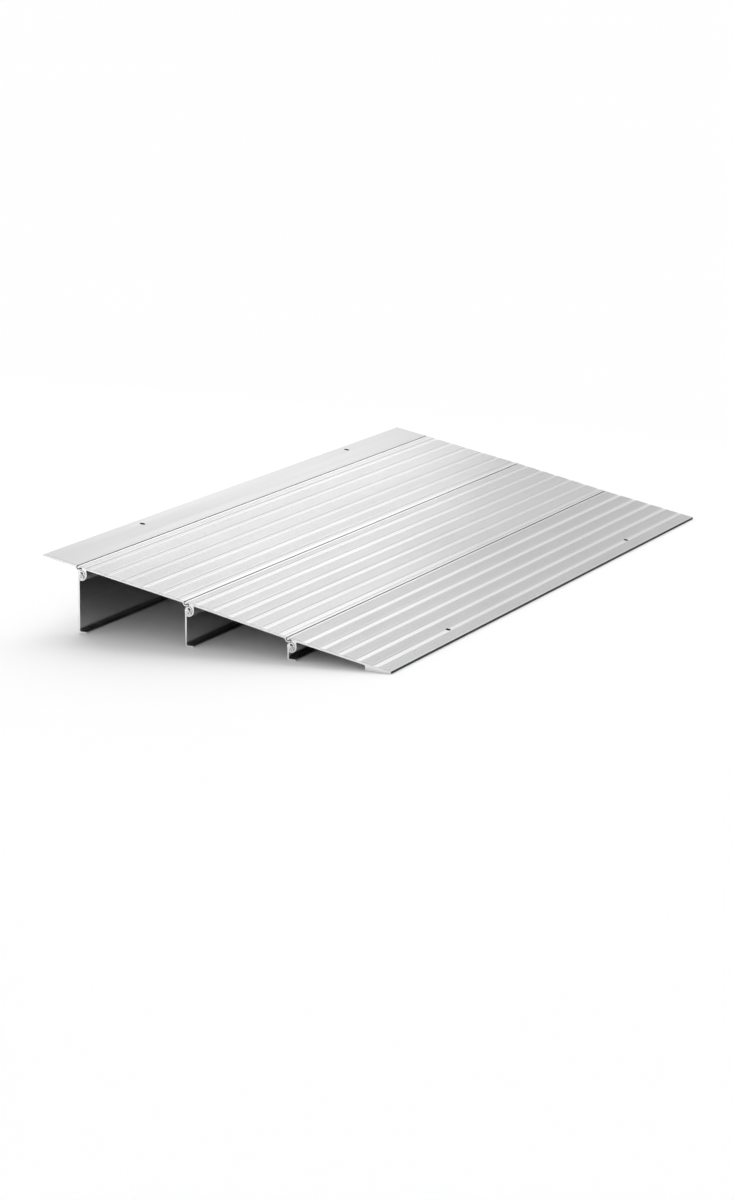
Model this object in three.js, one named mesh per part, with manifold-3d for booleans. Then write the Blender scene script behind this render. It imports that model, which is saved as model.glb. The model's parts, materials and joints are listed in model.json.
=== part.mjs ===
// Self-supporting modular entry ramp for a door threshold, about three inches high.
//
// Every long piece is an aluminium extrusion, so its shape is one cross-section carried across
// the doorway. A flange lies on the sill, three ribbed deck panels run down from it to the
// floor, and each panel's uphill end rests on an L-shaped leg.
//
// At every hinge line the uphill piece ends in a cup and the next panel ends in a round nose
// that turns in that cup. Below the nose hangs a C-shaped socket, and the round head of a leg
// turns in the socket. A screw in each end of the head overlaps the socket's end while the leg
// stands, and so keeps it from sliding out sideways. Past 50 degrees of swing none does.
//
// Frame: +X downhill, away from the door, +Y across the doorway, +Z up, floor at z = 0. Left
// and right are those of a person walking up the ramp, so left is the -Y side.
import * as THREE from 'three';
import { mergeVertices } from 'three/addons/utils/BufferGeometryUtils.js';
import Module from 'manifold-3d';

const wasm = await Module();
wasm.setup();

// ---- Driving dimensions: millimetres, and degrees for angles ----

const RAMP_WIDTH = 863.6;
const HINGE_HEIGHTS = [72, 47.5, 23];
const HINGE_RUNS = [130.7, 121.1];
const TOE_RUN = 118.6;
const TOE_LIP_HEIGHT = 2.5;
const FLANGE_RUN = 43.9;
const FLANGE_EDGE_HEIGHT = 81.7;

const DECK_THICKNESS = 2.5;
const FLANGE_THICKNESS = 2;
const GROOVE_WIDTH = 4.2;
const GROOVE_DEPTH = 0.5;
const GROOVE_WALL_RUN = 1;
const NOSE_LAND = 3.2;
const CUP_LAND = 3.2;
const RIDGE_PITCH = 2.35;
const VALLEY_WIDTH = 0.9;
const VALLEY_DEPTH = 0.4;

const NOSE_RADIUS = 1.75;
const NECK_THICKNESS = 1.6;
const CUP_INNER_RADIUS = 2.2;
const CUP_OUTER_RADIUS = 3.8;
const CUP_TIP_ANGLE = 327;
const CUP_FILLET = 1.5;
const POCKET_RADIUS = 4.25;

const SOCKET_OFFSET = new THREE.Vector2(4.7, -7.2);
const SOCKET_INNER_RADIUS = 4.8;
const SOCKET_OUTER_RADIUS = 6.6;
const SOCKET_WALL_LEAN = 15;
const SOCKET_FILLET = 0.8;
const ROOF_END_ANGLE = 101;

const LEG_HEAD_RADIUS = 4.5;
const LEG_WALL = 2;
const LEG_WEB_SETBACK = 4.2;
const FOOT_LENGTH = 10;
const FOOT_HEEL_RADIUS = 2.2;
const FOOT_INNER_FILLET = 1;
const FOOT_TIP_RADIUS = 0.7;
const LIP_GAP = 0.3;

const SCREW_PORT_OFFSET = new THREE.Vector2(0.8, -2.2);
const SCREW_PORT_RADIUS = 1.3;
const HEAD_SLOT_RADIUS = 2.1;
const HEAD_SLOT_HALF_WIDTH = 0.6;
const HEAD_SLOT_START = 35;
const HEAD_SLOT_END = 105;

const SCREW_SHANK_RADIUS = 1.15;
const SCREW_SHANK_LENGTH = 10;
const SCREW_COLLAR_RADIUS = 1.7;
const SCREW_COLLAR_HEIGHT = 0.3;
const SCREW_HEAD_RADIUS = 2.8;
const SCREW_HEAD_HEIGHT = 1;
const SCREW_RIM_HEIGHT = 0.35;
const SCREW_CROWN_RUN = 0.8;
const SCREW_CROWN_TOP_ANGLE = 60;
const SCREW_CROWN_STEP = 15;
const SCREW_TIP_LENGTH = 1.2;
const SCREW_RECESS_LENGTH = 2.4;
const SCREW_RECESS_WIDTH = 0.6;
const SCREW_RECESS_DEPTH = 0.6;
const SCREW_RECESS_TURN = 23;
const SCREW_SEGMENTS = 20;

const WEDGE_LENGTH = 29.8;
const WEDGE_FILLET = 1.6;
const TOE_EDGE_RADIUS = 0.9;
const WEDGE_HEEL_RADIUS = 0.5;

const FIXING_HOLE_RADIUS = 3.1;
const FIXING_HOLE_CHAMFER = 0.2;
const FIXING_DRILL_LENGTH = 40;
const HOLE_SEGMENTS = 24;
const FLANGE_HOLE_SETBACK = 10.3;
const FLANGE_HOLES_ACROSS = [-240, 267];
const TOE_HOLES_ACROSS = [-254, 254];

const ARC_STEP = 12;
const CUTTER_RISE = 0.5;

// Distances along each deck, from its uphill hinge line.
const UPPER_GROOVES = { first: 11.8, pitch: 22.4, count: 6 };
const MIDDLE_GROOVES = { first: 10.8, pitch: 20.4, count: 6 };
const TOE_GROOVES = { first: 18.1, pitch: 20.8, count: 5 };

// ---- Small helpers ----

const degrees = THREE.MathUtils.radToDeg;
const radians = THREE.MathUtils.degToRad;

function addPoint(outline, x, y) {
  const last = outline[outline.length - 1];
  if (last && Math.hypot(last.x - x, last.y - y) < 1e-4) return;
  outline.push(new THREE.Vector2(x, y));
}

// Adds an arc from one angle to another, turning whichever way the second angle lies.
function addArc(outline, x, y, radius, from, to) {
  const steps = Math.max(2, Math.ceil(Math.abs(to - from) / ARC_STEP));
  for (let i = 0; i <= steps; i += 1) {
    const angle = radians(from + ((to - from) * i) / steps);
    addPoint(outline, x + radius * Math.cos(angle), y + radius * Math.sin(angle));
  }
}

// Carries an outline in the X-Z plane across the doorway, centred on y = 0.
function extrudeAcross(outline, holes = [], width = RAMP_WIDTH) {
  const shape = new THREE.Shape(outline);
  for (const hole of holes) shape.holes.push(new THREE.Path(hole));
  const geometry = new THREE.ExtrudeGeometry(shape, { depth: width, bevelEnabled: false });
  geometry.rotateX(Math.PI / 2);
  geometry.translate(0, width / 2, 0);
  return geometry;
}

function toSolid(geometry) {
  const bare = geometry.clone();
  bare.deleteAttribute('normal');
  bare.deleteAttribute('uv');
  const merged = mergeVertices(bare, 1e-5);
  return new wasm.Manifold(
    new wasm.Mesh({
      numProp: 3,
      vertProperties: new Float32Array(merged.attributes.position.array),
      triVerts: new Uint32Array(merged.index.array),
    }),
  );
}

function toGeometry(solid) {
  const mesh = solid.getMesh();
  const geometry = new THREE.BufferGeometry();
  geometry.setAttribute('position', new THREE.BufferAttribute(mesh.vertProperties, 3));
  geometry.setIndex(new THREE.BufferAttribute(mesh.triVerts, 1));
  geometry.computeVertexNormals();
  return geometry;
}

// ---- Where each piece sits: hinge lines run across the doorway at these points ----

const hinges = [new THREE.Vector2(0, HINGE_HEIGHTS[0])];
HINGE_RUNS.forEach((run, i) => {
  hinges.push(new THREE.Vector2(hinges[i].x + run, HINGE_HEIGHTS[i + 1]));
});

// Downhill slope of a panel that runs from one hinge line to the next.
function slopeBetween(upper, lower) {
  return degrees(Math.atan2(upper.y - lower.y, lower.x - upper.x));
}

// Slope of a plate whose top face passes through a point and stands NOSE_RADIUS above a hinge
// line: the direct line's slope, turned by the angle that the radius takes up at that distance.
function slopeToTopPoint(hinge, x, z) {
  const away = Math.abs(x - hinge.x);
  const rise = x > hinge.x ? hinge.y - z : z - hinge.y;
  const lift = degrees(Math.asin(NOSE_RADIUS / Math.hypot(away, rise)));
  const direct = degrees(Math.atan2(rise, away));
  return x > hinge.x ? direct + lift : direct - lift;
}

const toeEdge = new THREE.Vector2(hinges[2].x + TOE_RUN, TOE_LIP_HEIGHT);
const flangeSlope = slopeToTopPoint(hinges[0], -FLANGE_RUN, FLANGE_EDGE_HEIGHT);
const slopes = [
  slopeBetween(hinges[0], hinges[1]),
  slopeBetween(hinges[1], hinges[2]),
  slopeToTopPoint(hinges[2], toeEdge.x, toeEdge.y),
];

// The axis of the socket under a panel's uphill end, in the ramp's frame.
function socketAxis(index) {
  const slope = radians(slopes[index]);
  return SOCKET_OFFSET.clone().rotateAround(new THREE.Vector2(), -slope).add(hinges[index]);
}

// ---- Deck outlines: x runs downhill from the uphill hinge line, y is square to the deck ----

// A cutter along the ramp's width whose walls slope out from a floor of the given width, so
// that it is mouthWidth wide where it leaves the deck's top face.
function channelCutter(centre, floorWidth, mouthWidth, depth) {
  const reach = (depth + CUTTER_RISE) / depth;
  const floor = floorWidth / 2;
  const mouth = floor + (mouthWidth / 2 - floor) * reach;
  const outline = [];
  addPoint(outline, centre - floor, NOSE_RADIUS - depth);
  addPoint(outline, centre + floor, NOSE_RADIUS - depth);
  addPoint(outline, centre + mouth, NOSE_RADIUS + CUTTER_RISE);
  addPoint(outline, centre - mouth, NOSE_RADIUS + CUTTER_RISE);
  return toSolid(extrudeAcross(outline, [], RAMP_WIDTH + CUTTER_RISE));
}

const valleyCutter = (x) => channelCutter(x, 0, VALLEY_WIDTH, VALLEY_DEPTH);

// One tread keeps flat-topped ridges with a V-shaped valley between each two.
function valleysBetween(start, end) {
  const ridges = Math.max(1, Math.round((end - start) / RIDGE_PITCH));
  const valleys = [];
  for (let i = 1; i < ridges; i += 1) valleys.push(start + ((end - start) * i) / ridges);
  return valleys;
}

// Where the last groove's downhill wall reaches the top face.
function endOfGrooves(grooves) {
  const lastCentre = grooves.first + (grooves.count - 1) * grooves.pitch;
  return lastCentre + GROOVE_WIDTH / 2 + GROOVE_WALL_RUN;
}

// Cuts the tread surface: a smooth-floored groove at each centre, valleys in every tread
// between them, and a V-shaped line at each place where a smooth land begins.
function cutTreads(geometry, start, end, grooves, landLines) {
  const mouthWidth = GROOVE_WIDTH + 2 * GROOVE_WALL_RUN;
  const cutters = landLines.map(valleyCutter);
  let treadStart = start;
  for (let i = 0; i < grooves.count; i += 1) {
    const centre = grooves.first + i * grooves.pitch;
    cutters.push(channelCutter(centre, GROOVE_WIDTH, mouthWidth, GROOVE_DEPTH));
    cutters.push(...valleysBetween(treadStart, centre - mouthWidth / 2).map(valleyCutter));
    treadStart = centre + mouthWidth / 2;
  }
  cutters.push(...valleysBetween(treadStart, end).map(valleyCutter));
  let solid = toSolid(geometry);
  for (const cutter of cutters) solid = solid.subtract(cutter);
  return toGeometry(solid);
}

// The cup around the next hinge line, from the plate's top face round to its underside.
function addCup(outline, x, thickness) {
  const mouth = 180 - degrees(Math.asin(NOSE_RADIUS / CUP_INNER_RADIUS));
  addArc(outline, x, 0, CUP_INNER_RADIUS, mouth, CUP_TIP_ANGLE);
  const tip = radians(CUP_TIP_ANGLE);
  const tipDistance = (CUP_INNER_RADIUS + CUP_OUTER_RADIUS) / 2;
  const tipRadius = (CUP_OUTER_RADIUS - CUP_INNER_RADIUS) / 2;
  const tipX = x + tipDistance * Math.cos(tip);
  const tipY = tipDistance * Math.sin(tip);
  addArc(outline, tipX, tipY, tipRadius, CUP_TIP_ANGLE - 180, CUP_TIP_ANGLE - 360);
  const underside = NOSE_RADIUS - thickness;
  const filletY = underside - CUP_FILLET;
  const filletX = x - Math.sqrt((CUP_OUTER_RADIUS + CUP_FILLET) ** 2 - filletY ** 2);
  const meeting = degrees(Math.atan2(-filletY, x - filletX));
  addArc(outline, x, 0, CUP_OUTER_RADIUS, CUP_TIP_ANGLE, 180 + meeting);
  addArc(outline, filletX, filletY, CUP_FILLET, meeting, 90);
}

// The socket under the uphill end, from the deck's underside round to the pocket that the
// uphill piece's cup turns in, then the neck and the nose itself.
function addSocketAndNose(outline, slope) {
  const { x, y } = SOCKET_OFFSET;
  const underside = NOSE_RADIUS - DECK_THICKNESS;
  const lean = radians(SOCKET_WALL_LEAN);
  const wallX = x + SOCKET_OUTER_RADIUS * Math.cos(lean);
  const wallY = y + SOCKET_OUTER_RADIUS * Math.sin(lean);
  const cornerX = wallX - (underside - wallY) * Math.tan(lean);
  const filletRun = SOCKET_FILLET / Math.tan((Math.PI / 2 - lean) / 2);
  const filletY = underside - SOCKET_FILLET;
  addArc(outline, cornerX + filletRun, filletY, SOCKET_FILLET, 90, 180 + SOCKET_WALL_LEAN);

  const lipEdge = LEG_WEB_SETBACK - LEG_WALL - LIP_GAP;
  const lipAngle = (radius) => slope - degrees(Math.acos(-lipEdge / radius));
  addArc(outline, x, y, SOCKET_OUTER_RADIUS, SOCKET_WALL_LEAN, lipAngle(SOCKET_OUTER_RADIUS));
  addArc(outline, x, y, SOCKET_INNER_RADIUS, lipAngle(SOCKET_INNER_RADIUS), ROOF_END_ANGLE);

  const roofX = x + SOCKET_INNER_RADIUS * Math.cos(radians(ROOF_END_ANGLE));
  const roofY = y + SOCKET_INNER_RADIUS * Math.sin(radians(ROOF_END_ANGLE));
  const pocketStart = degrees(Math.atan2(roofY, roofX));
  const neckUnderside = NOSE_RADIUS - NECK_THICKNESS;
  const pocketEnd = degrees(Math.asin(neckUnderside / POCKET_RADIUS));
  addArc(outline, 0, 0, POCKET_RADIUS, pocketStart, pocketEnd);

  const neckAngle = degrees(Math.asin(neckUnderside / NOSE_RADIUS));
  addArc(outline, 0, 0, NOSE_RADIUS, neckAngle, 90 - 360);
}

function linkedPanelOutline(length, slope) {
  const outline = [];
  addCup(outline, length, DECK_THICKNESS);
  addSocketAndNose(outline, slope);
  return outline;
}

// The last panel: its underside drops to a solid wedge that lies on the floor, and its top
// runs out to a low lip.
function toePanelOutline(hinge, slope) {
  const outline = [];
  const tilt = radians(slope);
  const toDeck = (x, z) => new THREE.Vector2(x, z).sub(hinge).rotateAround(new THREE.Vector2(), tilt);
  const heightOfTop = (x) => toeEdge.y + (toeEdge.x - x) * Math.tan(tilt);

  const edgeX = toeEdge.x - TOE_EDGE_RADIUS;
  const edge = toDeck(edgeX, heightOfTop(edgeX) - TOE_EDGE_RADIUS / Math.cos(tilt));
  addArc(outline, edge.x, edge.y, TOE_EDGE_RADIUS, 90, slope);

  const toeFloor = toDeck(toeEdge.x, 0);
  addPoint(outline, toeFloor.x, toeFloor.y);
  const backX = toeEdge.x - WEDGE_LENGTH;
  const heel = toDeck(backX + WEDGE_HEEL_RADIUS, WEDGE_HEEL_RADIUS);
  addArc(outline, heel.x, heel.y, WEDGE_HEEL_RADIUS, slope - 90, slope - 180);

  const cornerZ = heightOfTop(backX) - DECK_THICKNESS / Math.cos(tilt);
  const filletRun = WEDGE_FILLET / Math.tan((Math.PI / 2 + tilt) / 2);
  const fillet = toDeck(backX - WEDGE_FILLET, cornerZ - filletRun);
  addArc(outline, fillet.x, fillet.y, WEDGE_FILLET, slope, 90);
  addSocketAndNose(outline, slope);
  return outline;
}

// A plain plate that ends in the same cup as the deck panels.
function flangeOutline(length) {
  const outline = [];
  const round = FLANGE_THICKNESS / 2;
  const axisY = NOSE_RADIUS - round;
  addArc(outline, round - length, axisY, round, 270, 90);
  addCup(outline, 0, FLANGE_THICKNESS);
  return outline;
}

// ---- Leg outlines: origin on the head's axis, x and y along the ramp's X and Z ----

function legOutline(height) {
  const outline = [];
  const door = -LEG_WEB_SETBACK;
  const inner = door + LEG_WALL;
  const floor = -height;
  const footTop = floor + LEG_WALL;
  const footTip = door + FOOT_LENGTH;
  const headStart = 180 + degrees(Math.acos(LEG_WEB_SETBACK / LEG_HEAD_RADIUS));
  const headEnd = degrees(Math.acos(-inner / LEG_HEAD_RADIUS)) - 180;
  addArc(outline, 0, 0, LEG_HEAD_RADIUS, headStart, headEnd);
  const filletX = inner + FOOT_INNER_FILLET;
  addArc(outline, filletX, footTop + FOOT_INNER_FILLET, FOOT_INNER_FILLET, 180, 270);
  addArc(outline, footTip - FOOT_TIP_RADIUS, footTop - FOOT_TIP_RADIUS, FOOT_TIP_RADIUS, 90, 0);
  addPoint(outline, footTip, floor);
  const heelX = door + FOOT_HEEL_RADIUS;
  addArc(outline, heelX, floor + FOOT_HEEL_RADIUS, FOOT_HEEL_RADIUS, 270, 180);
  return outline;
}

// The round port that takes a screw in each end of the head.
function screwPortOutline() {
  const outline = [];
  const { x, y } = SCREW_PORT_OFFSET;
  addArc(outline, x, y, SCREW_PORT_RADIUS, 0, 360 - ARC_STEP);
  return outline;
}

// The curved slot that lightens the upper half of the head.
function headSlotOutline() {
  const outline = [];
  const outer = HEAD_SLOT_RADIUS + HEAD_SLOT_HALF_WIDTH;
  const inner = HEAD_SLOT_RADIUS - HEAD_SLOT_HALF_WIDTH;
  addArc(outline, 0, 0, outer, HEAD_SLOT_START, HEAD_SLOT_END);
  addArc(outline, 0, 0, inner, HEAD_SLOT_END, HEAD_SLOT_START);
  return outline;
}

// ---- Holes and screws ----

// A round hole square to the plate, with its top edge broken.
function fixingHole(x, y, surface) {
  const drill = new THREE.CylinderGeometry(
    FIXING_HOLE_RADIUS, FIXING_HOLE_RADIUS, FIXING_DRILL_LENGTH, HOLE_SEGMENTS,
  );
  const wide = FIXING_HOLE_RADIUS + 2 * FIXING_HOLE_CHAMFER;
  const chamfer = new THREE.CylinderGeometry(
    wide, FIXING_HOLE_RADIUS, 2 * FIXING_HOLE_CHAMFER, HOLE_SEGMENTS,
  );
  for (const cutter of [drill, chamfer]) {
    cutter.rotateX(Math.PI / 2);
    cutter.translate(x, y, surface);
  }
  return toSolid(drill).add(toSolid(chamfer));
}

function drillAcross(geometry, x, places, surface) {
  let solid = toSolid(geometry);
  for (const y of places) solid = solid.subtract(fixingHole(x, y, surface));
  return toGeometry(solid);
}

// A pan-head screw on the Y axis. The collar's face at y = 0 sits on the end of the leg's
// head, and holds the screw's head clear of the socket's end.
function screwGeometry() {
  const seat = -SCREW_COLLAR_HEIGHT;
  const top = seat - SCREW_HEAD_HEIGHT;
  const crownEdge = SCREW_HEAD_RADIUS - SCREW_CROWN_RUN;
  const crownRise = SCREW_HEAD_HEIGHT - SCREW_RIM_HEIGHT;
  const profile = [new THREE.Vector2(0, top)];
  for (let angle = SCREW_CROWN_TOP_ANGLE; angle >= 0; angle -= SCREW_CROWN_STEP) {
    const radius = crownEdge + SCREW_CROWN_RUN * Math.cos(radians(angle));
    const rise = (crownRise * Math.sin(radians(angle))) / Math.sin(radians(SCREW_CROWN_TOP_ANGLE));
    profile.push(new THREE.Vector2(radius, seat - SCREW_RIM_HEIGHT - rise));
  }
  profile.push(
    new THREE.Vector2(SCREW_HEAD_RADIUS, seat),
    new THREE.Vector2(SCREW_COLLAR_RADIUS, seat),
    new THREE.Vector2(SCREW_COLLAR_RADIUS, 0),
    new THREE.Vector2(SCREW_SHANK_RADIUS, 0),
    new THREE.Vector2(SCREW_SHANK_RADIUS, SCREW_SHANK_LENGTH - SCREW_TIP_LENGTH),
    new THREE.Vector2(0, SCREW_SHANK_LENGTH),
  );
  let solid = toSolid(new THREE.LatheGeometry(profile, SCREW_SEGMENTS));
  for (const turn of [SCREW_RECESS_TURN, SCREW_RECESS_TURN + 90]) {
    const slot = new THREE.BoxGeometry(
      SCREW_RECESS_LENGTH, 2 * SCREW_RECESS_DEPTH, SCREW_RECESS_WIDTH,
    );
    slot.rotateY(radians(turn));
    slot.translate(0, top, 0);
    solid = solid.subtract(toSolid(slot));
  }
  return toGeometry(solid);
}

// ---- Pieces ----

function aluminium(color) {
  return new THREE.MeshStandardMaterial({ color, roughness: 0.42, metalness: 0.9 });
}

function steel() {
  return new THREE.MeshStandardMaterial({ color: 0xb9bcc0, roughness: 0.3, metalness: 1 });
}

// Places a plate or panel with its uphill hinge line, or the flange's only one, on a hinge.
function placedPlate(name, geometry, material, hinge, slope) {
  const mesh = new THREE.Mesh(geometry, material);
  mesh.name = name;
  mesh.position.set(hinge.x, 0, hinge.y);
  mesh.rotation.y = radians(slope);
  return mesh;
}

function buildFlange() {
  const rise = FLANGE_EDGE_HEIGHT - hinges[0].y;
  const length = Math.sqrt(FLANGE_RUN ** 2 + rise ** 2 - NOSE_RADIUS ** 2);
  const plate = extrudeAcross(flangeOutline(length));
  const holeX = FLANGE_HOLE_SETBACK - length;
  const geometry = drillAcross(plate, holeX, FLANGE_HOLES_ACROSS, NOSE_RADIUS);
  return placedPlate('threshold_flange', geometry, aluminium(0xe6e7e8), hinges[0], flangeSlope);
}

function buildLinkedPanel(name, index, grooves) {
  const length = hinges[index].distanceTo(hinges[index + 1]);
  const plate = extrudeAcross(linkedPanelOutline(length, slopes[index]));
  const cupLand = length - CUP_INNER_RADIUS - CUP_LAND;
  const hasLastTread = cupLand - endOfGrooves(grooves) > VALLEY_WIDTH;
  const landLines = hasLastTread ? [NOSE_LAND, cupLand] : [NOSE_LAND];
  const treadEnd = Math.max(cupLand, endOfGrooves(grooves));
  const geometry = cutTreads(plate, NOSE_LAND, treadEnd, grooves, landLines);
  return placedPlate(name, geometry, aluminium(0xdcdddf), hinges[index], slopes[index]);
}

function buildToePanel() {
  const outline = toePanelOutline(hinges[2], slopes[2]);
  const holeX = TOE_GROOVES.first + (TOE_GROOVES.count - 1) * TOE_GROOVES.pitch;
  const floorOfGroove = NOSE_RADIUS - GROOVE_DEPTH;
  const treadEnd = Math.hypot(TOE_RUN, HINGE_HEIGHTS[2] - TOE_LIP_HEIGHT) - TOE_EDGE_RADIUS;
  const plate = cutTreads(
    extrudeAcross(outline), NOSE_LAND, treadEnd, TOE_GROOVES, [NOSE_LAND],
  );
  const geometry = drillAcross(plate, holeX, TOE_HOLES_ACROSS, floorOfGroove);
  return placedPlate('toe_panel', geometry, aluminium(0xd6d7d9), hinges[2], slopes[2]);
}

// A leg with a screw in each end of its head, as one group on the head's axis.
function buildLeg(name, index) {
  const axis = socketAxis(index);
  const leg = new THREE.Group();
  leg.position.set(axis.x, 0, axis.y);
  const holes = [screwPortOutline(), headSlotOutline()];
  const extrusion = new THREE.Mesh(extrudeAcross(legOutline(axis.y), holes), aluminium(0xd9dadc));
  extrusion.name = name;
  leg.add(extrusion);
  const ends = { left: -1, right: 1 };
  for (const [side, sign] of Object.entries(ends)) {
    const screw = new THREE.Mesh(screwGeometry(), steel());
    screw.name = `${name}_${side}_screw`;
    screw.position.set(SCREW_PORT_OFFSET.x, (sign * RAMP_WIDTH) / 2, SCREW_PORT_OFFSET.y);
    screw.rotation.z = sign > 0 ? Math.PI : 0;
    leg.add(screw);
  }
  return leg;
}

const ramp = new THREE.Group();
ramp.add(
  buildFlange(),
  buildLinkedPanel('upper_panel', 0, UPPER_GROOVES),
  buildLinkedPanel('middle_panel', 1, MIDDLE_GROOVES),
  buildToePanel(),
  buildLeg('tall_leg', 0),
  buildLeg('middle_leg', 1),
  buildLeg('short_leg', 2),
);

// The part's origin is the middle of its footprint on the floor.
const footprint = new THREE.Box3().setFromObject(ramp, true);
ramp.position.x = -(footprint.min.x + footprint.max.x) / 2;

export default ramp;
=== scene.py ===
"""The looks of a modular threshold ramp: bright extruded aluminium on a pale studio floor.

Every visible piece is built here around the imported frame. The long pieces are extrusions, so
each takes its cross-section from its CAD node's end, gets rounded corners and deburred ends,
and is carried across the doorway again. Holes and screws also take their places from the frame.

Frame: +X downhill, +Y across the doorway, +Z up, metres.
"""

import json
import math

import bmesh
import bpy
from mathutils import Matrix, Vector
from mathutils.geometry import convex_hull_2d, tessellate_polygon

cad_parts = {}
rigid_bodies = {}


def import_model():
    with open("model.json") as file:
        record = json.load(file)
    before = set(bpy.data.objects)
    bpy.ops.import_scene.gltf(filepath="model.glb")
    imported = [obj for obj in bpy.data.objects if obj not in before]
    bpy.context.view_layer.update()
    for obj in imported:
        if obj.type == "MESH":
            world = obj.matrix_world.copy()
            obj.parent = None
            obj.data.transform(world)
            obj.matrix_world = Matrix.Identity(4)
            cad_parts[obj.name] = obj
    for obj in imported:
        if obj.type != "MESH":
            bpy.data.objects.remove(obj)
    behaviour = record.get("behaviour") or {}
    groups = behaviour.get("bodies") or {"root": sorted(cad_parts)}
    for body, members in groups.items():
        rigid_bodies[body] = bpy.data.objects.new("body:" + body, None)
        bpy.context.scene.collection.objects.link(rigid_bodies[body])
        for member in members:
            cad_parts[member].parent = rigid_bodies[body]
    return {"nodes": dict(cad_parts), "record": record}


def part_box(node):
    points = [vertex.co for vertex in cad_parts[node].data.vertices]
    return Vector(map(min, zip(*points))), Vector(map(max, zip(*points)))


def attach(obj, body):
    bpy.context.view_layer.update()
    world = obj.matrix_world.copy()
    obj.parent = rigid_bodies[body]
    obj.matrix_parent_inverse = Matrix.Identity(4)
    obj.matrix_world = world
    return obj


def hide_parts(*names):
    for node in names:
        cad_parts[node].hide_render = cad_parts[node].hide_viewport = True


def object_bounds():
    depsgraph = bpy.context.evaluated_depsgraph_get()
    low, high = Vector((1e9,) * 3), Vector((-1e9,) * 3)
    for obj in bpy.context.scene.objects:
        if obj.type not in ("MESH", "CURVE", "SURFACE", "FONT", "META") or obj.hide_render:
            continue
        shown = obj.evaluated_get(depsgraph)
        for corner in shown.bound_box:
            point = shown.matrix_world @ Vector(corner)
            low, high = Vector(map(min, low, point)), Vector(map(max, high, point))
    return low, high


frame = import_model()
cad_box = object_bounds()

MM = 0.001

# ---- Fine shape ----

END_BEVEL = 0.32 * MM
END_BEVEL_STEPS = 3
CORNER_RADIUS = 0.13 * MM
SMALLEST_CORNER_RADIUS = 0.3 * CORNER_RADIUS
CORNER_STEPS = 3
# The longest share of a side that the arc at one of its corners may take.
CORNER_REACH = 0.4
SHARP_TURN = math.radians(18)
STRAIGHT_TURN = math.radians(0.3)
SMOOTH_ANGLE = math.radians(34)
FLAT_FACE_WEIGHT = 100
WELD = 0.002 * MM
# How much wear and painted edge highlight the deburred ends get, where a rounded outer corner
# gets 1.
END_WEAR_AND_HIGHLIGHT = 0.7

# Depths below a deck's top plane that tell its zones apart.
FLAT_DEPTH = 0.05 * MM
TREAD_DEPTH = 0.43 * MM
GROOVE_DEPTH = 0.6 * MM
SHORTEST_LAND = 2.6 * MM

# Sides of an outline this near a hinge line lie in its gap, which is painted dark as shade.
HINGE_GAP_RADIUS = 2.4 * MM
# Sides of an outline this near the toe's tip make its upright front face.
LIP_FACE_RUN = 0.35 * MM

HOLE_SEGMENTS = 48
HOLE_CHAMFER = 0.2 * MM
DRILL_REACH = 20 * MM
# Points this near a plate's ends belong to the ends, and not to a hole.
END_MARGIN = 1 * MM
# Neighbouring points further apart than this belong to different holes.
HOLE_SPACING = 5 * MM
# A hole's rim lies within this depth below its highest point.
RIM_BAND = 1 * MM

# ---- Screws ----

SCREW_SEGMENTS = 40
SCREW_HEAD_HEIGHT = 1.0 * MM
SCREW_COLLAR_HEIGHT = 0.3 * MM
SCREW_COLLAR_RADIUS = 1.7 * MM
SCREW_RIM_HEIGHT = 0.35 * MM
SCREW_RIM_RADIUS = 0.1 * MM
SCREW_CROWN_RUN = 0.9 * MM
SCREW_CROWN_STEPS = 6
SCREW_ROOT_RADIUS = 0.85 * MM
SCREW_THREAD_RADIUS = 1.13 * MM
SCREW_THREAD_PITCH = 0.9 * MM
# The share of the pitch that each flank of the thread takes.
SCREW_FLANK = 0.32
SCREW_RINGS_PER_TURN = 10
SCREW_TIP_LENGTH = 1.4 * MM
# The share of the radius that is left at the point.
SCREW_POINT = 0.12
RECESS_LENGTH = 2.5 * MM
RECESS_WIDTH = 0.7 * MM
RECESS_DEPTH = 0.75 * MM
# The recess floor's length and width, as shares of those where the cutter is widest.
RECESS_FLOOR_LENGTH = 0.45
RECESS_FLOOR_WIDTH = 0.7
RECESS_TURN = math.radians(23)
# How far the cutter stands above the screw's head.
RECESS_CUTTER_ABOVE = 1 * MM

# ---- Brightness of each surface, as its reflectance, some levels holding painted light or shade ----

SMOOTH_LEVEL = 0.84
FLANGE_LEVEL = 0.65
LEG_LEVEL = 0.76
SAWN_LEVEL = 0.97
# Painted shade: the dark level painted on hinge gaps, hole walls, the holes in the legs and the
# toe's front face.
PAINTED_SHADE_LEVEL = 0.08
ZINC_LEVEL = 1.0
# Painted shade: the plating's level on the walls and floor of the screws' cross recesses.
RECESS_SHADE_LEVEL = 0.25
# Painted light and shade: the three panels are one extrusion; their tread and groove levels
# differ with how brightly each panel and its grooves are lit.
PANEL_PAINTED_LIGHT_LEVELS = {
    "upper_panel": {"tread": 0.92, "groove": 0.705},
    "middle_panel": {"tread": 0.9, "groove": 0.79},
    "toe_panel": {"tread": 0.82, "groove": 0.885},
}

# ---- Finish of each surface: (roughness, depth of the die lines, depth of the grain) ----

FINISHES = {
    "smooth": (0.38, 0.004 * MM, 0.002 * MM),
    "tread": (0.42, 0.006 * MM, 0.006 * MM),
    "groove": (0.4, 0.004 * MM, 0.003 * MM),
    "shadowed": (0.6, 0.006 * MM, 0.006 * MM),
    "flange": (0.42, 0.005 * MM, 0.005 * MM),
    "leg": (0.22, 0.005 * MM, 0.002 * MM),
}

# ---- Patterns: (features per metre along X, Y and Z), octaves ----

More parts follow.
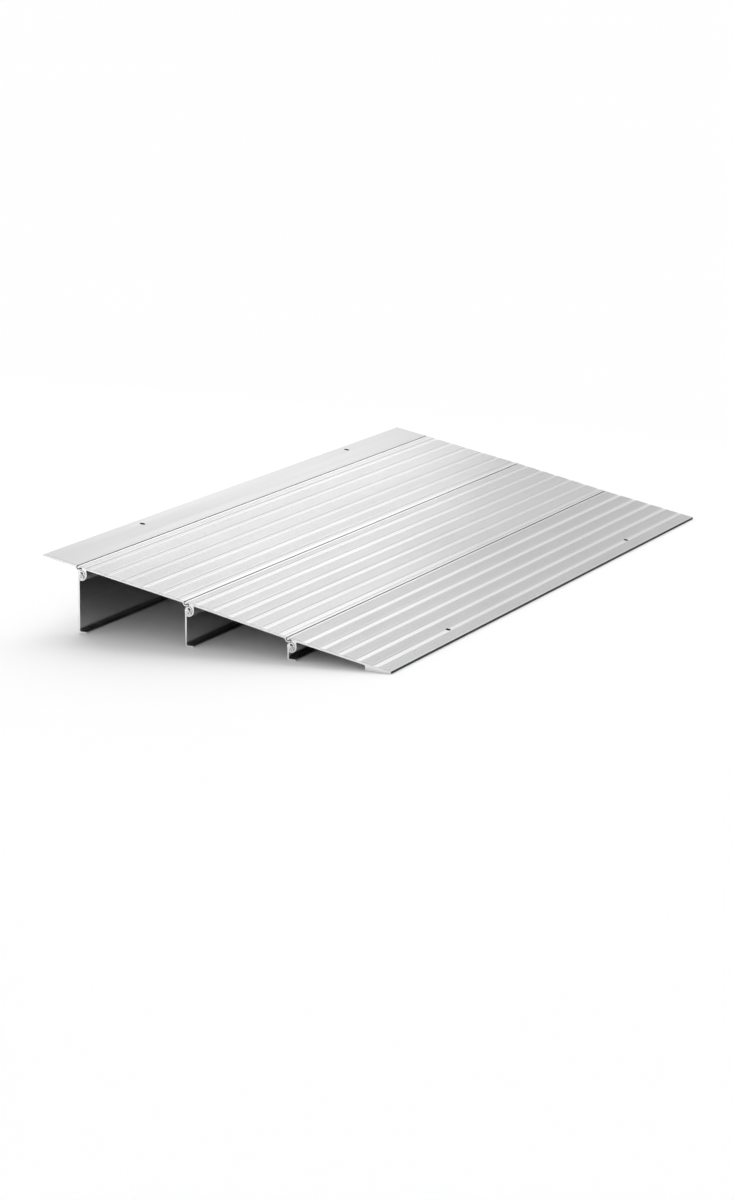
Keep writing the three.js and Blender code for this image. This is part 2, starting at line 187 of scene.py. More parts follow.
DIE_LINES = (1400, 4, 1400), 4
BROAD_LINES = (160, 1.5, 160), 2
CLOUDS = (9, 5, 9), 2
GRAIN = (2600, 2200, 2600), 2
SPECKLES = (450, 450, 450), 2
TEARING = (1500, 1500, 1500), 3
ZINC_MOTTLE = (900, 900, 900), 4
ZINC_GRAIN = (6000, 6000, 6000), 2
FLOOR_CLOUDS = (0.8, 0.8, 0.8), 2
OCTAVE_SHARE = 0.55

# Nearly all of a pattern's values lie in the first of these ranges.
NOISE_RANGE = (0.3, 0.7)
SPECKLE_RANGE = (0.4, 0.65)
WEAR_AND_HIGHLIGHT_RANGE = (0.35, 0.65)
FULL_RANGE = (0.0, 1.0)

# ---- What the patterns do to a surface: tones are shares of its own level ----

DIE_LINE_TONE = 0.94
CLOUD_TONE = 1.03
CLOUD_STRENGTH = 0.5
# Wear and painted edge highlight: the share by which rounded outer corners and deburred ends are
# drawn lighter.
WORN_AND_HIGHLIGHT_TONE = 1.12
BRIGHTEST_LEVEL = 0.98
LEAST_WEAR_AND_HIGHLIGHT = 0.5
SPECKLING = 0.03
TREAD_SPECKLING = 0.12
BROAD_LINE_ROUGHNESS = 0.04
GRAIN_ROUGHNESS = 0.03
BURNISH = 0.08

SAWN_ROUGHNESS = (0.31, 0.43)
SAW_MARK_SCALE = 700.0
SAW_MARK_DISTORTION = 3.0
SAW_MARK_OCTAVES = 2.0
SAW_MARK_TONE = 0.9
SAW_MARK_DEPTH = 0.012 * MM
TEARING_DEPTH = 0.01 * MM

ZINC_TONES = (0.7, 0.84)
ZINC_ROUGHNESS = (0.2, 0.34)
ZINC_GRAIN_DEPTH = 0.004 * MM

FLOOR_WHITE = 0.9
FLOOR_TONE = 0.99
FLOOR_ROUGHNESS = 0.9
FLOOR_HALF_SIZE = 40.0

# ---- Camera: degrees and metres, and millimetres for the lens and sensor ----

CAMERA_AZIMUTH = 26.38
CAMERA_ELEVATION = 13.41
CAMERA_ROLL = 0.35
CAMERA_DISTANCE = 3.522
CAMERA_LENS = 94.56
CAMERA_SENSOR = 36.0
AIM_DOWNHILL = 0.0402
AIM_NEARER = 0.1524

# ---- Light: degrees and metres, with places measured from the middle of the floor ----

KEY_AZIMUTH = -24
KEY_ELEVATION = 29
KEY_EDGE = 0.75
KEY_LIGHT = 3.86
FILL_LIGHT = 0.76
FILL_LIGHT_AT_RIGHT = 0.495
FILL_FALL = (0.0, 0.6)
WALL_IN_METAL = 0.62
RIGHT_WALL = 0.25
RIGHT_WALL_FALL = (0.05, 0.5)
CEILING = 0.6
CEILING_FALL = (0.45, 0.95)
SOFTBOX_BEHIND = 0.93
SOFTBOX_SPAN = (-1.04, -0.244)
SOFTBOX_HEIGHTS = (0.294, 0.955)
SOFTBOX_RADIANCE = 0.78


# ---- Outlines: lists of (x, z) points with the material on their left ----


def end_loops(node):
    """The outline of an extrusion's near end and its holes, each as a list of 2-D points."""
    bm = bmesh.new()
    bm.from_mesh(frame["nodes"][node].data)
    bmesh.ops.remove_doubles(bm, verts=bm.verts, dist=WELD)
    near = min(v.co.y for v in bm.verts)
    end = [f for f in bm.faces if all(abs(v.co.y - near) < WELD for v in f.verts)]
    in_end = set(end)
    following = {}
    for face in end:
        for loop in face.loops:
            if loop.link_loop_radial_next.face not in in_end:
                following[loop.vert] = loop.link_loop_next.vert
    loops = []
    while following:
        start, here = next(iter(following.items()))
        del following[start]
        loop = [start]
        while here is not start:
            loop.append(here)
            here = following.pop(here)
        loops.append([Vector((v.co.x, v.co.z)) for v in loop])
    bm.free()
    return sorted((without_straights(loop) for loop in loops), key=twice_area, reverse=True)


def twice_area(loop):
    """Twice the signed area: positive if the loop runs anticlockwise."""
    return sum(a.cross(b) for a, b in zip(loop, loop[1:] + loop[:1]))


def turn_at(loop, i):
    """The signed angle by which the loop turns at point i."""
    before = loop[i] - loop[i - 1]
    after = loop[(i + 1) % len(loop)] - loop[i]
    return math.atan2(before.cross(after), before.dot(after))


def without_straights(loop):
    """The loop without the points at which it runs straight on."""
    return [p for i, p in enumerate(loop) if abs(turn_at(loop, i)) > STRAIGHT_TURN]


def inset(loop, distance):
    """The loop moved into its material, with mitred corners."""
    moved = []
    for i, point in enumerate(loop):
        before = (point - loop[i - 1]).normalized()
        after = (loop[(i + 1) % len(loop)] - point).normalized()
        left_before = Vector((-before.y, before.x))
        left_after = Vector((-after.y, after.x))
        mitre = left_before + left_after
        moved.append(point + mitre * (distance * 2 / mitre.length_squared))
    return moved


def corner_arc(loop, i, radius):
    """Points round corner i, from one side's tangent point to the other's."""
    point = loop[i]
    back = loop[i - 1] - point
    ahead = loop[(i + 1) % len(loop)] - point
    sweep = turn_at(loop, i)
    half = abs(sweep) / 2
    longest = CORNER_REACH * min(back.length, ahead.length)
    reach = min(radius * math.tan(half), longest)
    start = point + back.normalized() * reach
    bisector = (back.normalized() + ahead.normalized()).normalized()
    centre = point + bisector * (reach / math.sin(half))
    from_centre = start - centre
    arc = []
    for step in range(CORNER_STEPS + 1):
        turn = Matrix.Rotation(sweep * step / CORNER_STEPS, 2)
        arc.append(centre + turn @ from_centre)
    return arc


def rounded(loop, corners, distance):
    """The loop inset by a distance, with an arc at each of the listed corners and a value of
    wear and painted edge highlight for each point: 1 at the middle of an outer corner."""
    moved = inset(loop, distance)
    points, wear = [], []
    for i, point in enumerate(moved):
        if i not in corners:
            points.append(point)
            wear.append(0.0)
            continue
        outer = corners[i] > 0
        radius = CORNER_RADIUS + (-distance if outer else distance)
        arc = corner_arc(moved, i, max(radius, SMALLEST_CORNER_RADIUS))
        points += arc
        for step in range(len(arc)):
            middle = 1 - abs(2 * step / CORNER_STEPS - 1)
            wear.append(middle if outer else 0.0)
    return points, wear


# ---- Zones of a deck ----


class TopPlane:
    """The flat that a deck's ridges share, found as the longest upper side of the hull."""

    def __init__(self, loop):
        hull = [loop[i] for i in convex_hull_2d(loop)]
        if twice_area(hull) < 0:
            hull.reverse()
        sides = list(zip(hull, hull[1:] + hull[:1]))
        upper = [(a, b) for a, b in sides if (b - a).x < 0]
        end, self.start = max(upper, key=lambda side: (side[1] - side[0]).length)
        self.along = (end - self.start).normalized()
        self.normal = Vector((-self.along.y, self.along.x))

    def depth(self, point):
        """How far a point lies below the plane."""
        return (self.start - point).dot(self.normal)

    def run(self, point):
        """How far a point lies along the plane from its start."""
        return (point - self.start).dot(self.along)

    def holds(self, point):
        """Whether a point belongs to the upper face, its grooves included."""
        return self.depth(point) < GROOVE_DEPTH


def deck_zone(top, a, b):
    """Which surface a side of a deck's outline belongs to: a smooth land or wall, the tread, or
    a groove's floor."""
    if not (top.holds(a) and top.holds(b)):
        return "smooth"
    shallowest, deepest = sorted((top.depth(a), top.depth(b)))
    if deepest > TREAD_DEPTH:
        return "groove" if shallowest > TREAD_DEPTH else "smooth"
    is_land = deepest < FLAT_DEPTH and (b - a).length > SHORTEST_LAND
    return "smooth" if is_land else "tread"


def hinge_axes():
    """Where the axis of each panel hinge meets the cross-section."""
    joints = frame["record"]["behaviour"]["joints"]
    places = [joint["pos_m"] for joint in joints if joint["name"].endswith("tilt")]
    return [Vector((x, z)) for x, _, z in places]


HINGE_AXES = hinge_axes()


def in_hinge_gap(a, b):
    """Whether a side lies inside one of the panel hinges, whose shaded gap is painted dark."""
    reaches = [max((a - axis).length, (b - axis).length) for axis in HINGE_AXES]
    return min(reaches) < HINGE_GAP_RADIUS


def on_toe_lip(a, b):
    """Whether a side is the toe's upright front face, painted dark as shade and as the
    reflection of a dark room.
    """
    return min(a.x, b.x) > cad_box[1].x - LIP_FACE_RUN


# ---- Meshes ----

# The material index of each kind of surface on an extrusion.
# The last zone is the dark material that paints shade into hinge gaps, holes and the toe's front
# face.
ZONES = {"smooth": 0, "tread": 1, "groove": 2, "end": 3, "hidden": 4}

# A screw's faces take material 0, its plating, but for the walls and floor of its recess, which
# take the plating darkened as painted shade.
RECESS = 1

# What a visible piece's name adds to the name of the CAD node it stands for.
LOOKS = "_looks"


def mesh_object(name, bm, materials):
    """A new object in the scene from a bmesh, which it uses up."""
    mesh = bpy.data.meshes.new(name)
    bm.to_mesh(mesh)
    bm.free()
    for material in materials:
        mesh.materials.append(material)
    made = bpy.data.objects.new(name, mesh)
    bpy.context.scene.collection.objects.link(made)
    return made


def new_piece(node, bm, materials):
    """The visible stand-in for a CAD node, on the same body, with the given materials."""
    piece = mesh_object(node + LOOKS, bm, materials)
    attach(piece, body_of(node))
    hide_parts(node)
    return piece


def body_of(node):
    """The name of the body that a CAD node belongs to."""
    bodies = frame["record"]["behaviour"]["bodies"]
    return next(body for body, members in bodies.items() if node in members)


def bevel_rows(low, high):
    """(y, inset of the outline) for each ring of an extrusion, with both ends deburred."""
    stations = []
    for step in range(END_BEVEL_STEPS + 1):
        angle = math.pi / 2 * step / END_BEVEL_STEPS
        depth = END_BEVEL * (1 - math.sin(angle))
        run = END_BEVEL * (1 - math.cos(angle))
        stations.append((depth, run))
    rows = [(low + run, depth) for depth, run in stations]
    return rows + [(high - run, depth) for depth, run in reversed(stations)]


def sharp_corners(loop):
    """The turn at each corner that gets rounded, by the corner's number."""
    turns = {i: turn_at(loop, i) for i in range(len(loop))}
    return {i: turn for i, turn in turns.items() if abs(turn) > SHARP_TURN}


def add_rings(bm, loop, corners, rows):
    """The loop's ring of vertices for each row, with the wear and painted edge highlight of each
    vertex.
    """
    wear_and_highlight_layer = bm.verts.layers.float["wear"]
    rings = []
    for y, depth in rows:
        points, wear = rounded(loop, corners, depth)
        least_wear_and_highlight = 0.0 if depth in (0.0, END_BEVEL) else END_WEAR_AND_HIGHLIGHT
        ring = []
        for point, value in zip(points, wear):
            vert = bm.verts.new((point.x, y, point.y))
            vert[wear_and_highlight_layer] = max(value, least_wear_and_highlight)
            ring.append(vert)
        rings.append(ring)
    return rings


def add_walls(bm, rings, zones):
    """Joins each ring to the next. zones has the material index of each side of the ring."""
    for ring, next_ring in zip(rings, rings[1:]):
        for i, zone in enumerate(zones):
            j = (i + 1) % len(ring)
            face = bm.faces.new((ring[i], next_ring[i], next_ring[j], ring[j]))
            face.material_index = zone
            face.smooth = True


def add_cap(bm, rings, facing):
    """Fills the outline and its holes at one end. facing is the side of Y it looks to."""
    verts = [v for ring in rings for v in ring]
    outlines = [[Vector((v.co.x, v.co.z, 0)) for v in ring] for ring in rings]
    for triangle in tessellate_polygon(outlines):
        a, b, c = (verts[i] for i in triangle)
        is_right_way = (b.co - a.co).cross(c.co - a.co).y * facing > 0
        face = bm.faces.new((a, b, c) if is_right_way else (a, c, b))
        face.material_index = ZONES["end"]


def extrude(loops, low, high, zone_of):
    """A bmesh of the loops carried from y = low to y = high, with both ends deburred.

    zone_of(loop number, point, next point) gives each long face's material index."""
    bm = bmesh.new()
    bm.verts.layers.float.new("wear")
    rows = bevel_rows(low, high)
    near_rings, far_rings = [], []
    for number, loop in enumerate(loops):
        corners = sharp_corners(loop)
        rings = add_rings(bm, loop, corners, rows)
        flat = rounded(loop, corners, 0.0)[0]
        zones = [zone_of(number, a, b) for a, b in zip(flat, flat[1:] + flat[:1])]
        add_walls(bm, rings, zones)
        near_rings.append(rings[0])
        far_rings.append(rings[-1])
    add_cap(bm, near_rings, -1)
    add_cap(bm, far_rings, 1)
    bmesh.ops.recalc_face_normals(bm, faces=bm.faces)
    return bm


def shade(piece):
    """Smooth shading in which each flat keeps its own normal right up to its rounded edges."""
    piece.data.set_sharp_from_angle(angle=SMOOTH_ANGLE)
    weighted = piece.modifiers.new("flat_faces", "WEIGHTED_NORMAL")
    weighted.mode = "FACE_AREA"
    weighted.weight = FLAT_FACE_WEIGHT
    weighted.keep_sharp = True


def build_extrusion(node, materials, is_deck):
    """The visible piece for an extruded CAD node. materials follow the order of ZONES."""
    low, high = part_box(node)
    loops = end_loops(node)
    top = TopPlane(loops[0]) if is_deck else None

    def zone_of(number, a, b):
        # Holes in the section, hinge gaps and the toe's front face get painted shade.
        if number > 0 or in_hinge_gap(a, b) or on_toe_lip(a, b):
            return ZONES["hidden"]
        return ZONES[deck_zone(top, a, b) if is_deck else "smooth"]

    return new_piece(node, extrude(loops, low.y, high.y, zone_of), materials)


# ---- Holes ----


def hole_points(node):
    """The points round each hole through a CAD plate, as a list for each hole."""
    low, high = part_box(node)
    first, last = low.y + END_MARGIN, high.y - END_MARGIN
    vertices = frame["nodes"][node].data.vertices
    between_ends = [v.co.copy() for v in vertices if first < v.co.y < last]
    groups = []
    for point in sorted(between_ends, key=lambda p: p.y):
        if groups and point.y - groups[-1][-1].y < HOLE_SPACING:
            groups[-1].append(point)
        else:
            groups.append([point])
    return groups


def rim_and_radius(points, top):
    """The middle of a hole's rim, without its chamfer, and the hole's radius."""
    ys = [p.y for p in points]
    in_section = [Vector((p.x, p.z)) for p in points]
    runs = [top.run(p) for p in in_section]
    depths = [top.depth(p) for p in in_section]
    below_rim = min(depths) + RIM_BAND
    shaft = [y for y, depth in zip(ys, depths) if depth > below_rim]
    rim_depth = max(depth for depth in depths if depth < below_rim) - HOLE_CHAMFER
    run = (min(runs) + max(runs)) / 2
    rim = top.start + top.along * run - top.normal * rim_depth
    middle = Vector((rim.x, (min(ys) + max(ys)) / 2, rim.y))
    return middle, (max(shaft) - min(shaft)) / 2


def drill(piece, node):
    """Cuts each hole of the CAD node through the piece, with a broken edge at its top, and
    paints its walls dark as shade.
    """
    top = TopPlane(end_loops(node)[0])
    axis = Vector((top.normal.x, 0, top.normal.y))
    for points in hole_points(node):
        middle, radius = rim_and_radius(points, top)
        cut(piece, hole_cutter(middle, axis, radius), ZONES["hidden"])


def hole_cutter(middle, axis, radius):
    """A shaft up to the hole's chamfer, and a cone that widens from there to above the rim."""
    profile = [
        (radius, -DRILL_REACH),
        (radius, -HOLE_CHAMFER),
        (radius + HOLE_CHAMFER * 2, HOLE_CHAMFER),
    ]
    bm = revolve(profile, HOLE_SEGMENTS)
    bm.transform(Matrix.Translation(middle) @ turn_to(axis))
    return bm


def turn_to(direction):
    """The rotation that carries +Z to a direction."""
    return Vector((0, 0, 1)).rotation_difference(direction).to_matrix().to_4x4()


def revolve(profile, segments, radius_at=None):
    """A closed bmesh of the (radius, height) profile turned about Z, with flat ends.

    radius_at(radius, height, angle) may change the radius on the way round."""
    bm = bmesh.new()
    rings = []
    for radius, height in profile:
        ring = []
        for i in range(segments):
            angle = 2 * math.pi * i / segments
            r = radius_at(radius, height, angle) if radius_at else radius
            ring.append(bm.verts.new((r * math.cos(angle), r * math.sin(angle), height)))
        rings.append(ring)
    for ring, next_ring in zip(rings, rings[1:]):
        for i in range(segments):
            j = (i + 1) % segments
            bm.faces.new((ring[i], ring[j], next_ring[j], next_ring[i])).smooth = True
    bm.faces.new(list(reversed(rings[0])))
    bm.faces.new(rings[-1])
    bmesh.ops.recalc_face_normals(bm, faces=bm.faces)
    return bm


def cut(piece, cutter_bm, material_index):
    """Takes the cutter away from the piece for good, and gives the cut faces a material."""
    for face in cutter_bm.faces:
        face.material_index = material_index
    tool = mesh_object("cutter", cutter_bm, piece.data.materials)
    modifier = piece.modifiers.new("cut", "BOOLEAN")
    modifier.operation = "DIFFERENCE"
    modifier.solver = "EXACT"
    modifier.object = tool
    depsgraph = bpy.context.evaluated_depsgraph_get()
    done = bpy.data.meshes.new_from_object(piece.evaluated_get(depsgraph), depsgraph=depsgraph)
    piece.modifiers.clear()
    piece.data = done
    bpy.data.objects.remove(tool)


# ---- Screws ----


def head_profile(head_radius):
    """(radius, height) points from the flat on a pan head's top to the collar's underside."""
    profile = []
    crown = SCREW_HEAD_HEIGHT - SCREW_RIM_HEIGHT
    for step in range(SCREW_CROWN_STEPS + 1):
        angle = math.pi / 2 * step / SCREW_CROWN_STEPS
        radius = head_radius - SCREW_CROWN_RUN * (1 - math.sin(angle))
        profile.append((radius, -crown * (1 - math.cos(angle))))
    return profile + [
        (head_radius, -SCREW_HEAD_HEIGHT + SCREW_RIM_RADIUS),
        (head_radius - SCREW_RIM_RADIUS, -SCREW_HEAD_HEIGHT),
        (SCREW_COLLAR_RADIUS, -SCREW_HEAD_HEIGHT),
        (SCREW_COLLAR_RADIUS, -SCREW_HEAD_HEIGHT - SCREW_COLLAR_HEIGHT),
    ]


def shank_profile(length):
    """(radius, height) points down the thread's root, from the collar to the point."""
    shank_top = SCREW_HEAD_HEIGHT + SCREW_COLLAR_HEIGHT
    shank = length - shank_top
    steps = round(shank / SCREW_THREAD_PITCH * SCREW_RINGS_PER_TURN)
    return [(SCREW_ROOT_RADIUS, -shank_top - shank * step / steps) for step in range(steps + 1)]


def screw_mesh(head_radius, length):
    """A pan-head screw along Z: the head's top at z = 0, the point at z = -length."""
    rise = SCREW_THREAD_RADIUS - SCREW_ROOT_RADIUS

    def radius_at(radius, height, angle):
        if radius != SCREW_ROOT_RADIUS:
            return radius
        phase = (height / SCREW_THREAD_PITCH + angle / (2 * math.pi)) % 1
        flank = max(0.0, 1 - abs(phase - 0.5) / SCREW_FLANK)
        to_tip = min(1.0, max(0.0, (height + length) / SCREW_TIP_LENGTH))
        body = SCREW_ROOT_RADIUS + rise * flank
        return body * (SCREW_POINT + (1 - SCREW_POINT) * to_tip)

    profile = head_profile(head_radius) + shank_profile(length)
    return revolve(profile, SCREW_SEGMENTS, radius_at)


def recess_cutter(turn):
    """The cutter for one arm of the cross recess, widest above the head."""
    bm = bmesh.new()
    bmesh.ops.create_cube(bm, size=1.0)
    for vert in bm.verts:
        at_floor = vert.co.z < 0
        vert.co.x *= RECESS_LENGTH * (RECESS_FLOOR_LENGTH if at_floor else 1.0)
        vert.co.y *= RECESS_WIDTH * (RECESS_FLOOR_WIDTH if at_floor else 1.0)
        vert.co.z = -RECESS_DEPTH if at_floor else RECESS_CUTTER_ABOVE
    bmesh.ops.rotate(bm, verts=bm.verts, matrix=Matrix.Rotation(turn, 3, "Z"))
    return bm


def build_screw(node, materials):
    """The visible screw for a CAD node, with its head towards the nearer end of the ramp."""
    low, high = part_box(node)
    middle = (low + high) / 2
    outward = -1 if middle.y < (cad_box[0].y + cad_box[1].y) / 2 else 1
    head_top = low.y if outward < 0 else high.y
    head_radius = (high.x - low.x) / 2
    piece = new_piece(node, screw_mesh(head_radius, high.y - low.y), materials)
    for turn in (RECESS_TURN, RECESS_TURN + math.pi / 2):
        cut(piece, recess_cutter(turn), RECESS)
    place = Matrix.Translation((middle.x, head_top, middle.z))
    piece.data.transform(place @ turn_to(Vector((0, outward, 0))))


# ---- Materials ----


# The sockets that carry colours on a Mix node.
MIX_A, MIX_B, MIX_RESULT = 6, 7, 2


class Graph:
    """A node tree, with short calls for adding and joining nodes."""

    def __init__(self, owner):
        self.tree = owner.node_tree

    def add(self, kind, **settings):
        node = self.tree.nodes.new(kind)
        for key, value in settings.items():
            setattr(node, key, value)
        return node

    def feed(self, socket, value):
        """Gives a socket a fixed value, or joins it to the socket that has the value."""
        if isinstance(value, bpy.types.NodeSocket):
            self.tree.links.new(value, socket)
        else:
            socket.default_value = value

    def remap(self, value, source, target):
        """The value carried from one (low, high) range to another, and held inside it."""
        node = self.add("ShaderNodeMapRange")
        self.feed(node.inputs["Value"], value)
        self.feed(node.inputs["From Min"], source[0])
        self.feed(node.inputs["From Max"], source[1])
        self.feed(node.inputs["To Min"], target[0])
        self.feed(node.inputs["To Max"], target[1])
        return node.outputs[0]

    def smoothstep(self, value, source, target):
        mapped = self.remap(value, source, target)
        mapped.node.interpolation_type = "SMOOTHSTEP"
        return mapped

    def math(self, operation, a, b):
        node = self.add("ShaderNodeMath", operation=operation)
        self.feed(node.inputs[0], a)
        self.feed(node.inputs[1], b)
        return node.outputs[0]

    def mix(self, factor, a, b):
        node = self.add("ShaderNodeMix", data_type="RGBA")
        self.feed(node.inputs["Factor"], factor)
        self.feed(node.inputs[MIX_A], a)
        self.feed(node.inputs[MIX_B], b)
        return node.outputs[MIX_RESULT]


class MaterialGraph(Graph):
    """A new material's tree: one Principled shader, placed by the object's own coordinates."""

    def __init__(self, name):
        self.material = bpy.data.materials.new(name)
        self.material.use_nodes = True
        super().__init__(self.material)
        self.shader = self.tree.nodes["Principled BSDF"]
        self.place = self.add("ShaderNodeTexCoord").outputs["Object"]

    def set(self, name, value):
        self.feed(self.shader.inputs[name], value)

    def noise(self, scale, octaves):
        """Noise from 0 to 1 whose features are 1 / scale metres long on each axis."""
        mapping = self.add("ShaderNodeMapping")
        self.feed(mapping.inputs["Vector"], self.place)
        self.feed(mapping.inputs["Scale"], scale)
        node = self.add("ShaderNodeTexNoise")
        self.feed(node.inputs["Vector"], mapping.outputs[0])
        self.feed(node.inputs["Scale"], 1.0)
        self.feed(node.inputs["Detail"], octaves)
        self.feed(node.inputs["Roughness"], OCTAVE_SHARE)
        return node.outputs["Fac"]

    def attribute(self, name):
        return self.add("ShaderNodeAttribute", attribute_name=name).outputs["Fac"]

    def bump(self, height, distance, below=None):
        """The normal over a height pattern, on top of another bump where one is given."""
        node = self.add("ShaderNodeBump")
        self.feed(node.inputs["Distance"], distance)
        self.feed(node.inputs["Height"], height)
        if below is not None:
            self.feed(node.inputs["Normal"], below)
        return node.outputs[0]


def grey(level):
    return (level, level, level, 1.0)


def extruded_aluminium(name, level, finish, speckling=SPECKLING):
    """Mill-finish aluminium: fine die lines along the length, a faint cloudiness, a satin
    grain, dull speckles, and edges drawn a little brighter as wear and painted edge highlight."""
    roughness, line_depth, grain_depth = FINISHES[finish]
    g = MaterialGraph(name)
    die_lines = g.noise(*DIE_LINES)
    clouds = g.noise(*CLOUDS)
    grain = g.noise(*GRAIN)
    # Wear and painted edge highlight: lighter, smoother rounded corners and deburred ends,
    # patchy with the clouds.
    wear = g.math(
        "MULTIPLY", g.attribute("wear"), g.remap(clouds, WEAR_AND_HIGHLIGHT_RANGE, (LEAST_WEAR_AND_HIGHLIGHT, 1.0)),
    )
    g.set("Base Color", aluminium_colour(g, level, speckling, die_lines, clouds, wear))
    g.set("Metallic", 1.0)
    g.set("Roughness", aluminium_roughness(g, roughness, grain, wear))
    g.set("Normal", g.bump(grain, grain_depth, g.bump(die_lines, line_depth)))
    return g.material


def aluminium_colour(g, level, speckling, die_lines, clouds, wear):
    """The level, darker in die lines and speckles, lighter in clouds, and lighter on edges as
    wear and painted edge highlight.
    """
    in_lines = g.remap(die_lines, NOISE_RANGE, FULL_RANGE)
    in_speckles = g.remap(g.noise(*SPECKLES), SPECKLE_RANGE, FULL_RANGE)
    in_clouds = g.remap(clouds, NOISE_RANGE, (0.0, CLOUD_STRENGTH))
    streaked = g.mix(in_lines, grey(level * DIE_LINE_TONE), grey(level))
    dulled = g.mix(in_speckles, streaked, grey(level * (1 - speckling)))
    clouded = g.mix(in_clouds, dulled, grey(level * CLOUD_TONE))
    return g.mix(wear, clouded, grey(min(level * WORN_AND_HIGHLIGHT_TONE, BRIGHTEST_LEVEL)))


def aluminium_roughness(g, roughness, grain, wear):
    """The roughness, varied in broad lines and in the grain, and less on edges with wear and
    painted highlight.
    """
    around = (roughness - BROAD_LINE_ROUGHNESS, roughness + BROAD_LINE_ROUGHNESS)
    satin = g.remap(g.noise(*BROAD_LINES), NOISE_RANGE, around)
    in_grain = g.remap(grain, NOISE_RANGE, (-GRAIN_ROUGHNESS, GRAIN_ROUGHNESS))
    grained = g.math("ADD", satin, in_grain)
    return g.math("SUBTRACT", grained, g.math("MULTIPLY", wear, BURNISH))


def sawn_aluminium(name, level):
    """A saw-cut end: fine, slightly darker arcs from the blade over a slightly torn face."""
    g = MaterialGraph(name)
    wave = g.add("ShaderNodeTexWave", wave_type="RINGS", rings_direction="Y")
    g.feed(wave.inputs["Vector"], g.place)
    g.feed(wave.inputs["Scale"], SAW_MARK_SCALE)
    g.feed(wave.inputs["Distortion"], SAW_MARK_DISTORTION)
    g.feed(wave.inputs["Detail"], SAW_MARK_OCTAVES)
    marks = wave.outputs["Fac"]
    tearing = g.noise(*TEARING)
    in_marks = g.math("MULTIPLY", marks, tearing)
    g.set("Base Color", g.mix(in_marks, grey(level), grey(level * SAW_MARK_TONE)))
    g.set("Metallic", 1.0)
    g.set("Roughness", g.remap(tearing, NOISE_RANGE, SAWN_ROUGHNESS))
    g.set("Normal", g.bump(tearing, TEARING_DEPTH, g.bump(marks, SAW_MARK_DEPTH)))
    return g.material


def zinc_steel(name, level):
    """Bright zinc plating with a faint mottle, at a level from 0 to 1 of its full brightness."""
    g = MaterialGraph(name)
    mottle = g.noise(*ZINC_MOTTLE)
    dull, bright = ZINC_TONES
    g.set("Base Color", g.mix(mottle, grey(level * dull), grey(level * bright)))
    g.set("Metallic", 1.0)
    g.set("Roughness", g.remap(mottle, NOISE_RANGE, ZINC_ROUGHNESS))
    g.set("Normal", g.bump(g.noise(*ZINC_GRAIN), ZINC_GRAIN_DEPTH))
    return g.material


def white_floor(name):
    """Matt white with a very faint cloudiness."""
    g = MaterialGraph(name)
    tone = g.noise(*FLOOR_CLOUDS)
    g.set("Base Color", g.mix(tone, grey(FLOOR_WHITE), grey(FLOOR_WHITE * FLOOR_TONE)))
    g.set("Roughness", FLOOR_ROUGHNESS)
    g.set("Specular IOR Level", 0.0)
    return g.material


# ---- The ramp ----


def build_panels(smooth, sawn, hidden):
    # Each panel's tread and groove levels carry painted light and shade.
    for node, levels in PANEL_PAINTED_LIGHT_LEVELS.items():
        tread = extruded_aluminium(node + "_tread", levels["tread"], "tread", TREAD_SPECKLING)
        groove = extruded_aluminium(node + "_groove", levels["groove"], "groove")
        piece = build_extrusion(node, [smooth, tread, groove, sawn, hidden], True)
        drill(piece, node)


def build_flange(sawn, hidden):
    node = "threshold_flange"
    plain = extruded_aluminium("flange_aluminium", FLANGE_LEVEL, "flange")
    piece = build_extrusion(node, [plain, plain, plain, sawn, hidden], True)
    drill(piece, node)


def build_legs(sawn, hidden):
    plain = extruded_aluminium("leg_aluminium", LEG_LEVEL, "leg")
    for node in ("tall_leg", "middle_leg", "short_leg"):
        build_extrusion(node, [plain, plain, plain, sawn, hidden], False)


def build_screws():
    plating = zinc_steel("zinc_steel", ZINC_LEVEL)
    # The cross recesses get the plating darkened as painted shade.
    recess = zinc_steel("recess_steel", RECESS_SHADE_LEVEL)
    for node in sorted(frame["nodes"]):
        if node.endswith("screw"):
            build_screw(node, [plating, recess])


def build_ramp():
    smooth = extruded_aluminium("smooth_aluminium", SMOOTH_LEVEL, "smooth")
    # A dark aluminium that paints shade into hinge gaps, holes and the toe's front face.
    hidden = extruded_aluminium("shadowed_aluminium", PAINTED_SHADE_LEVEL, "shadowed")
    sawn = sawn_aluminium("sawn_aluminium", SAWN_LEVEL)
    build_panels(smooth, sawn, hidden)
    build_flange(sawn, hidden)
    build_legs(sawn, hidden)
    build_screws()
    for made in bpy.context.scene.objects:
        if made.name.endswith(LOOKS):
            shade(made)


# ---- Stage ----


def add_floor(z):
    bm = bmesh.new()
    bmesh.ops.create_grid(bm, x_segments=1, y_segments=1, size=FLOOR_HALF_SIZE)
    floor = mesh_object("floor", bm, [white_floor("floor_white")])
    floor.location.z = z


